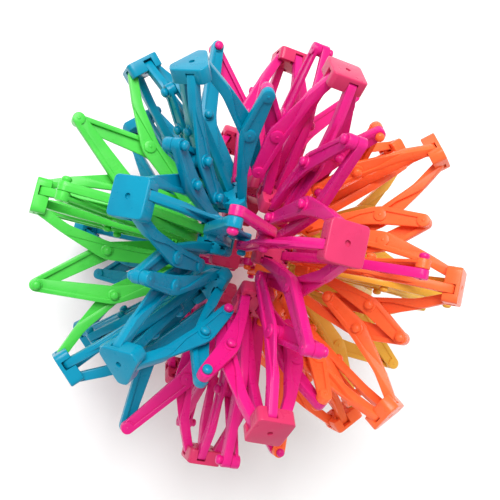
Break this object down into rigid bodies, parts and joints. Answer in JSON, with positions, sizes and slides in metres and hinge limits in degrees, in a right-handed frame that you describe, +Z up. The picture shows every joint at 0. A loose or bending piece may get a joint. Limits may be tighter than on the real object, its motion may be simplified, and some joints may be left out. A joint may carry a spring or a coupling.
{
  "type": "expanding scissor-linkage ball",
  "caption": "Hand-size ball of coloured plastic scissor struts and hubs that opens to about twice its width, shown closed.",
  "frame": {"origin": "middle of the bottom outer hub's flat face, on which the closed ball stands", "axes": "+Z up through the top hub, +X towards the yellow side (opposite the green side), +Y towards the back"},
  "size_m": [0.152, 0.152, 0.1521],
  "materials": {
    "green_plastic": "satin-gloss injection-moulded polypropylene",
    "cyan_plastic": "satin-gloss injection-moulded polypropylene",
    "pink_plastic": "satin-gloss injection-moulded polypropylene",
    "orange_plastic": "satin-gloss injection-moulded polypropylene",
    "yellow_plastic": "satin-gloss injection-moulded polypropylene"
  },
  "bodies": {
    "hub_bottom_front_left": {"hub_bottom_front_left": "cyan_plastic"},
    "hub_bottom_front": {"hub_bottom_front": "pink_plastic"},
    "hub_bottom_front_right": {"hub_bottom_front_right": "orange_plastic"},
    "hub_bottom_left": {"hub_bottom_left": "cyan_plastic"},
    "hub_bottom": {"hub_bottom": "pink_plastic"},
    "hub_bottom_right": {"hub_bottom_right": "orange_plastic"},
    "hub_bottom_back_left": {"hub_bottom_back_left": "cyan_plastic"},
    "hub_bottom_back": {"hub_bottom_back": "pink_plastic"},
    "hub_bottom_back_right": {"hub_bottom_back_right": "orange_plastic"},
    "hub_front_left": {"hub_front_left": "cyan_plastic"},
    "hub_front": {"hub_front": "pink_plastic"},
    "hub_front_right": {"hub_front_right": "orange_plastic"},
    "hub_left": {"hub_left": "green_plastic"},
    "hub_right": {"hub_right": "yellow_plastic"},
    "hub_back_left": {"hub_back_left": "cyan_plastic"},
    "hub_back": {"hub_back": "pink_plastic"},
    "hub_back_right": {"hub_back_right": "orange_plastic"},
    "hub_top_front_left": {"hub_top_front_left": "cyan_plastic"},
    "hub_top_front": {"hub_top_front": "pink_plastic"},
    "hub_top_front_right": {"hub_top_front_right": "orange_plastic"},
    "hub_top_left": {"hub_top_left": "cyan_plastic"},
    "hub_top": {"hub_top": "pink_plastic"},
    "hub_top_right": {"hub_top_right": "orange_plastic"},
    "hub_top_back_left": {"hub_top_back_left": "cyan_plastic"},
    "hub_top_back": {"hub_top_back": "pink_plastic"},
    "hub_top_back_right": {"hub_top_back_right": "orange_plastic"},
    "arms_bottom_front_left": {"arms_bottom_front_left": "cyan_plastic"},
    "arms_bottom_front": {"arms_bottom_front": "pink_plastic"},
    "arms_bottom_front_right": {"arms_bottom_front_right": "orange_plastic"},
    "arms_bottom_left": {"arms_bottom_left": "cyan_plastic"},
    "arms_bottom": {"arms_bottom": "pink_plastic"},
    "arms_bottom_right": {"arms_bottom_right": "orange_plastic"},
    "arms_bottom_back_left": {"arms_bottom_back_left": "cyan_plastic"},
    "arms_bottom_back": {"arms_bottom_back": "pink_plastic"},
    "arms_bottom_back_right": {"arms_bottom_back_right": "orange_plastic"},
    "arms_front_left": {"arms_front_left": "cyan_plastic"},
    "arms_front": {"arms_front": "pink_plastic"},
    "arms_front_right": {"arms_front_right": "orange_plastic"},
    "arms_left": {"arms_left": "green_plastic"},
    "arms_right": {"arms_right": "yellow_plastic"},
    "arms_back_left": {"arms_back_left": "cyan_plastic"},
    "arms_back": {"arms_back": "pink_plastic"},
    "arms_back_right": {"arms_back_right": "orange_plastic"},
    "arms_top_front_left": {"arms_top_front_left": "cyan_plastic"},
    "arms_top_front": {"arms_top_front": "pink_plastic"},
    "arms_top_front_right": {"arms_top_front_right": "orange_plastic"},
    "arms_top_left": {"arms_top_left": "cyan_plastic"},
    "arms_top": {"arms_top": "pink_plastic"},
    "arms_top_right": {"arms_top_right": "orange_plastic"},
    "arms_top_back_left": {"arms_top_back_left": "cyan_plastic"},
    "arms_top_back": {"arms_top_back": "pink_plastic"},
    "arms_top_back_right": {"arms_top_back_right": "orange_plastic"}
  },
  "joints": [
    {"name": "open_ball", "type": "slide", "parent": "hub_bottom", "child": "hub_bottom_front", "axis": [0, -0.9239, 0.3827], "range_m": [0, 0.05129]},
    {"name": "open_hub_bottom_to_hub_bottom_back", "type": "slide", "parent": "hub_bottom", "child": "hub_bottom_back", "axis": [0, 0.9239, 0.3827], "range_m": [0, 0.05129]},
    {"name": "open_hub_bottom_front_to_hub_bottom_front_left", "type": "slide", "parent": "hub_bottom_front", "child": "hub_bottom_front_left", "axis": [-0.953, 0.2142, 0.2142], "range_m": [0, 0.0406]},
    {"name": "open_hub_bottom_front_to_hub_bottom_front_right", "type": "slide", "parent": "hub_bottom_front", "child": "hub_bottom_front_right", "axis": [0.953, 0.2142, 0.2142], "range_m": [0, 0.0406]},
    {"name": "open_hub_bottom_front_to_hub_front", "type": "slide", "parent": "hub_bottom_front", "child": "hub_front", "axis": [0, -0.3827, 0.9239], "range_m": [0, 0.05129]},
    {"name": "open_hub_bottom_front_to_arms_bottom_front_right", "type": "slide", "parent": "hub_bottom_front", "child": "arms_bottom_front_right", "axis": [0.953, 0.2142, 0.2142], "range_m": [0, 0.0406]},
    {"name": "open_hub_bottom_front_left_to_hub_front_left", "type": "slide", "parent": "hub_bottom_front_left", "child": "hub_front_left", "axis": [-0.2142, -0.2142, 0.953], "range_m": [0, 0.0406]},
    {"name": "open_hub_bottom_front_left_to_arms_bottom_left", "type": "slide", "parent": "hub_bottom_front_left", "child": "arms_bottom_left", "axis": [-0.2142, 0.953, -0.2142], "range_m": [0, 0.0406]},
    {"name": "open_hub_bottom_front_left_to_arms_bottom_front", "type": "slide", "parent": "hub_bottom_front_left", "child": "arms_bottom_front", "axis": [0.953, -0.2142, -0.2142], "range_m": [0, 0.0406]},
    {"name": "open_hub_bottom_front_right_to_hub_bottom_right", "type": "slide", "parent": "hub_bottom_front_right", "child": "hub_bottom_right", "axis": [0.2142, 0.953, -0.2142], "range_m": [0, 0.0406]},
    {"name": "open_hub_bottom_front_right_to_hub_front_right", "type": "slide", "parent": "hub_bottom_front_right", "child": "hub_front_right", "axis": [0.2142, -0.2142, 0.953], "range_m": [0, 0.0406]},
    {"name": "open_hub_front_left_to_hub_top_front_left", "type": "slide", "parent": "hub_front_left", "child": "hub_top_front_left", "axis": [0.2142, 0.2142, 0.953], "range_m": [0, 0.0406]},
    {"name": "open_arms_bottom_left_to_arms_bottom_front_left", "type": "slide", "parent": "arms_bottom_left", "child": "arms_bottom_front_left", "axis": [0.2142, -0.953, 0.2142], "range_m": [0, 0.0406]},
    {"name": "open_arms_bottom_left_to_arms_bottom_back_left", "type": "slide", "parent": "arms_bottom_left", "child": "arms_bottom_back_left", "axis": [0.2142, 0.953, 0.2142], "range_m": [0, 0.0406]},
    {"name": "open_arms_bottom_left_to_arms_bottom", "type": "slide", "parent": "arms_bottom_left", "child": "arms_bottom", "axis": [0.9239, 0, -0.3827], "range_m": [0, 0.05129]},
    {"name": "open_hub_bottom_right_to_hub_bottom_back_right", "type": "slide", "parent": "hub_bottom_right", "child": "hub_bottom_back_right", "axis": [-0.2142, 0.953, 0.2142], "range_m": [0, 0.0406]},
    {"name": "open_hub_bottom_right_to_hub_right", "type": "slide", "parent": "hub_bottom_right", "child": "hub_right", "axis": [0.3827, 0, 0.9239], "range_m": [0, 0.05129]},
    {"name": "open_hub_front_right_to_hub_top_front_right", "type": "slide", "parent": "hub_front_right", "child": "hub_top_front_right", "axis": [-0.2142, 0.2142, 0.953], "range_m": [0, 0.0406]},
    {"name": "open_arms_bottom_back_left_to_arms_bottom_back", "type": "slide", "parent": "arms_bottom_back_left", "child": "arms_bottom_back", "axis": [0.953, 0.2142, -0.2142], "range_m": [0, 0.0406]},
    {"name": "open_arms_bottom_to_arms_bottom_right", "type": "slide", "parent": "arms_bottom", "child": "arms_bottom_right", "axis": [0.9239, 0, 0.3827], "range_m": [0, 0.05129]},
    {"name": "open_hub_bottom_back_right_to_hub_back_right", "type": "slide", "parent": "hub_bottom_back_right", "child": "hub_back_right", "axis": [0.2142, 0.2142, 0.953], "range_m": [0, 0.0406]},
    {"name": "open_hub_right_to_hub_top_right", "type": "slide", "parent": "hub_right", "child": "hub_top_right", "axis": [-0.3827, 0, 0.9239], "range_m": [0, 0.05129]},
    {"name": "open_arms_bottom_back_to_arms_bottom_back_right", "type": "slide", "parent": "arms_bottom_back", "child": "arms_bottom_back_right", "axis": [0.953, -0.2142, 0.2142], "range_m": [0, 0.0406]},
    {"name": "open_arms_bottom_back_to_arms_back", "type": "slide", "parent": "arms_bottom_back", "child": "arms_back", "axis": [0, 0.3827, 0.9239], "range_m": [0, 0.05129]},
    {"name": "open_hub_back_right_to_hub_back", "type": "slide", "parent": "hub_back_right", "child": "hub_back", "axis": [-0.9239, 0.3827, 0], "range_m": [0, 0.05129]},
    {"name": "open_hub_back_right_to_hub_top_back_right", "type": "slide", "parent": "hub_back_right", "child": "hub_top_back_right", "axis": [-0.2142, -0.2142, 0.953], "range_m": [0, 0.0406]},
    {"name": "open_hub_top_right_to_hub_top", "type": "slide", "parent": "hub_top_right", "child": "hub_top", "axis": [-0.9239, 0, 0.3827], "range_m": [0, 0.05129]},
    {"name": "open_arms_back_to_arms_back_left", "type": "slide", "parent": "arms_back", "child": "arms_back_left", "axis": [-0.9239, -0.3827, 0], "range_m": [0, 0.05129]},
    {"name": "open_hub_back_to_hub_top_back", "type": "slide", "parent": "hub_back", "child": "hub_top_back", "axis": [0, -0.3827, 0.9239], "range_m": [0, 0.05129]},
    {"name": "open_hub_top_to_hub_top_left", "type": "slide", "parent": "hub_top", "child": "hub_top_left", "axis": [-0.9239, 0, -0.3827], "range_m": [0, 0.05129]},
    {"name": "open_hub_top_to_hub_top_front", "type": "slide", "parent": "hub_top", "child": "hub_top_front", "axis": [0, -0.9239, -0.3827], "range_m": [0, 0.05129]},
    {"name": "open_arms_back_left_to_arms_left", "type": "slide", "parent": "arms_back_left", "child": "arms_left", "axis": [-0.3827, -0.9239, 0], "range_m": [0, 0.05129]},
    {"name": "open_hub_top_back_to_hub_top_back_left", "type": "slide", "parent": "hub_top_back", "child": "hub_top_back_left", "axis": [-0.953, -0.2142, -0.2142], "range_m": [0, 0.0406]},
    {"name": "open_hub_top_left_to_hub_left", "type": "slide", "parent": "hub_top_left", "child": "hub_left", "axis": [-0.3827, 0, -0.9239], "range_m": [0, 0.05129]},
    {"name": "open_arms_left_to_arms_front_left", "type": "slide", "parent": "arms_left", "child": "arms_front_left", "axis": [0.3827, -0.9239, 0], "range_m": [0, 0.05129]},
    {"name": "open_hub_top_back_left_to_hub_back_left", "type": "slide", "parent": "hub_top_back_left", "child": "hub_back_left", "axis": [-0.2142, 0.2142, -0.953], "range_m": [0, 0.0406]},
    {"name": "open_hub_left_to_hub_bottom_left", "type": "slide", "parent": "hub_left", "child": "hub_bottom_left", "axis": [0.3827, 0, -0.9239], "range_m": [0, 0.05129]},
    {"name": "open_arms_front_left_to_arms_front", "type": "slide", "parent": "arms_front_left", "child": "arms_front", "axis": [0.9239, -0.3827, 0], "range_m": [0, 0.05129]},
    {"name": "open_hub_back_left_to_hub_bottom_back_left", "type": "slide", "parent": "hub_back_left", "child": "hub_bottom_back_left", "axis": [0.2142, -0.2142, -0.953], "range_m": [0, 0.0406]},
    {"name": "open_arms_front_to_arms_front_right", "type": "slide", "parent": "arms_front", "child": "arms_front_right", "axis": [0.9239, 0.3827, 0], "range_m": [0, 0.05129]},
    {"name": "open_arms_front_to_arms_top_front", "type": "slide", "parent": "arms_front", "child": "arms_top_front", "axis": [0, 0.3827, 0.9239], "range_m": [0, 0.05129]},
    {"name": "open_arms_front_right_to_arms_right", "type": "slide", "parent": "arms_front_right", "child": "arms_right", "axis": [0.3827, 0.9239, 0], "range_m": [0, 0.05129]},
    {"name": "open_arms_top_front_to_arms_top_front_left", "type": "slide", "parent": "arms_top_front", "child": "arms_top_front_left", "axis": [-0.953, 0.2142, -0.2142], "range_m": [0, 0.0406]},
    {"name": "open_arms_top_front_to_arms_top_front_right", "type": "slide", "parent": "arms_top_front", "child": "arms_top_front_right", "axis": [0.953, 0.2142, -0.2142], "range_m": [0, 0.0406]},
    {"name": "open_arms_right_to_arms_back_right", "type": "slide", "parent": "arms_right", "child": "arms_back_right", "axis": [-0.3827, 0.9239, 0], "range_m": [0, 0.05129]},
    {"name": "open_arms_top_front_left_to_arms_top_left", "type": "slide", "parent": "arms_top_front_left", "child": "arms_top_left", "axis": [-0.2142, 0.953, 0.2142], "range_m": [0, 0.0406]},
    {"name": "open_arms_top_front_right_to_arms_top_right", "type": "slide", "parent": "arms_top_front_right", "child": "arms_top_right", "axis": [0.2142, 0.953, 0.2142], "range_m": [0, 0.0406]},
    {"name": "open_arms_top_left_to_arms_top_back_left", "type": "slide", "parent": "arms_top_left", "child": "arms_top_back_left", "axis": [0.2142, 0.953, -0.2142], "range_m": [0, 0.0406]},
    {"name": "open_arms_top_right_to_arms_top_back_right", "type": "slide", "parent": "arms_top_right", "child": "arms_top_back_right", "axis": [-0.2142, 0.953, -0.2142], "range_m": [0, 0.0406]},
    {"name": "open_arms_top_back_right_to_arms_top_back", "type": "slide", "parent": "arms_top_back_right", "child": "arms_top_back", "axis": [-0.953, 0.2142, 0.2142], "range_m": [0, 0.0406]},
    {"name": "open_arms_top_back_to_arms_top", "type": "slide", "parent": "arms_top_back", "child": "arms_top", "axis": [0, -0.9239, 0.3827], "range_m": [0, 0.05129]}
  ],
  "couplings": [
    {"joint": "open_hub_bottom_to_hub_bottom_back", "follows": "open_ball", "ratio": 1},
    {"joint": "open_hub_bottom_front_to_hub_bottom_front_left", "follows": "open_ball", "ratio": 0.79153},
    {"joint": "open_hub_bottom_front_to_hub_bottom_front_right", "follows": "open_ball", "ratio": 0.79153},
    {"joint": "open_hub_bottom_front_to_hub_front", "follows": "open_ball", "ratio": 1},
    {"joint": "open_hub_bottom_front_to_arms_bottom_front_right", "follows": "open_ball", "ratio": 0.79153},
    {"joint": "open_hub_bottom_front_left_to_hub_front_left", "follows": "open_ball", "ratio": 0.79153},
    {"joint": "open_hub_bottom_front_left_to_arms_bottom_left", "follows": "open_ball", "ratio": 0.79153},
    {"joint": "open_hub_bottom_front_left_to_arms_bottom_front", "follows": "open_ball", "ratio": 0.79153},
    {"joint": "open_hub_bottom_front_right_to_hub_bottom_right", "follows": "open_ball", "ratio": 0.79153},
    {"joint": "open_hub_bottom_front_right_to_hub_front_right", "follows": "open_ball", "ratio": 0.79153},
    {"joint": "open_hub_front_left_to_hub_top_front_left", "follows": "open_ball", "ratio": 0.79153},
    {"joint": "open_arms_bottom_left_to_arms_bottom_front_left", "follows": "open_ball", "ratio": 0.79153},
    {"joint": "open_arms_bottom_left_to_arms_bottom_back_left", "follows": "open_ball", "ratio": 0.79153},
    {"joint": "open_arms_bottom_left_to_arms_bottom", "follows": "open_ball", "ratio": 1},
    {"joint": "open_hub_bottom_right_to_hub_bottom_back_right", "follows": "open_ball", "ratio": 0.79153},
    {"joint": "open_hub_bottom_right_to_hub_right", "follows": "open_ball", "ratio": 1},
    {"joint": "open_hub_front_right_to_hub_top_front_right", "follows": "open_ball", "ratio": 0.79153},
    {"joint": "open_arms_bottom_back_left_to_arms_bottom_back", "follows": "open_ball", "ratio": 0.79153},
    {"joint": "open_arms_bottom_to_arms_bottom_right", "follows": "open_ball", "ratio": 1},
    {"joint": "open_hub_bottom_back_right_to_hub_back_right", "follows": "open_ball", "ratio": 0.79153},
    {"joint": "open_hub_right_to_hub_top_right", "follows": "open_ball", "ratio": 1},
    {"joint": "open_arms_bottom_back_to_arms_bottom_back_right", "follows": "open_ball", "ratio": 0.79153},
    {"joint": "open_arms_bottom_back_to_arms_back", "follows": "open_ball", "ratio": 1},
    {"joint": "open_hub_back_right_to_hub_back", "follows": "open_ball", "ratio": 1},
    {"joint": "open_hub_back_right_to_hub_top_back_right", "follows": "open_ball", "ratio": 0.79153},
    {"joint": "open_hub_top_right_to_hub_top", "follows": "open_ball", "ratio": 1},
    {"joint": "open_arms_back_to_arms_back_left", "follows": "open_ball", "ratio": 1},
    {"joint": "open_hub_back_to_hub_top_back", "follows": "open_ball", "ratio": 1},
    {"joint": "open_hub_top_to_hub_top_left", "follows": "open_ball", "ratio": 1},
    {"joint": "open_hub_top_to_hub_top_front", "follows": "open_ball", "ratio": 1},
    {"joint": "open_arms_back_left_to_arms_left", "follows": "open_ball", "ratio": 1},
    {"joint": "open_hub_top_back_to_hub_top_back_left", "follows": "open_ball", "ratio": 0.79153},
    {"joint": "open_hub_top_left_to_hub_left", "follows": "open_ball", "ratio": 1},
    {"joint": "open_arms_left_to_arms_front_left", "follows": "open_ball", "ratio": 1},
    {"joint": "open_hub_top_back_left_to_hub_back_left", "follows": "open_ball", "ratio": 0.79153},
    {"joint": "open_hub_left_to_hub_bottom_left", "follows": "open_ball", "ratio": 1},
    {"joint": "open_arms_front_left_to_arms_front", "follows": "open_ball", "ratio": 1},
    {"joint": "open_hub_back_left_to_hub_bottom_back_left", "follows": "open_ball", "ratio": 0.79153},
    {"joint": "open_arms_front_to_arms_front_right", "follows": "open_ball", "ratio": 1},
    {"joint": "open_arms_front_to_arms_top_front", "follows": "open_ball", "ratio": 1},
    {"joint": "open_arms_front_right_to_arms_right", "follows": "open_ball", "ratio": 1},
    {"joint": "open_arms_top_front_to_arms_top_front_left", "follows": "open_ball", "ratio": 0.79153},
    {"joint": "open_arms_top_front_to_arms_top_front_right", "follows": "open_ball", "ratio": 0.79153},
    {"joint": "open_arms_right_to_arms_back_right", "follows": "open_ball", "ratio": 1},
    {"joint": "open_arms_top_front_left_to_arms_top_left", "follows": "open_ball", "ratio": 0.79153},
    {"joint": "open_arms_top_front_right_to_arms_top_right", "follows": "open_ball", "ratio": 0.79153},
    {"joint": "open_arms_top_left_to_arms_top_back_left", "follows": "open_ball", "ratio": 0.79153},
    {"joint": "open_arms_top_right_to_arms_top_back_right", "follows": "open_ball", "ratio": 0.79153},
    {"joint": "open_arms_top_back_right_to_arms_top_back", "follows": "open_ball", "ratio": 0.79153},
    {"joint": "open_arms_top_back_to_arms_top", "follows": "open_ball", "ratio": 1}
  ]
}
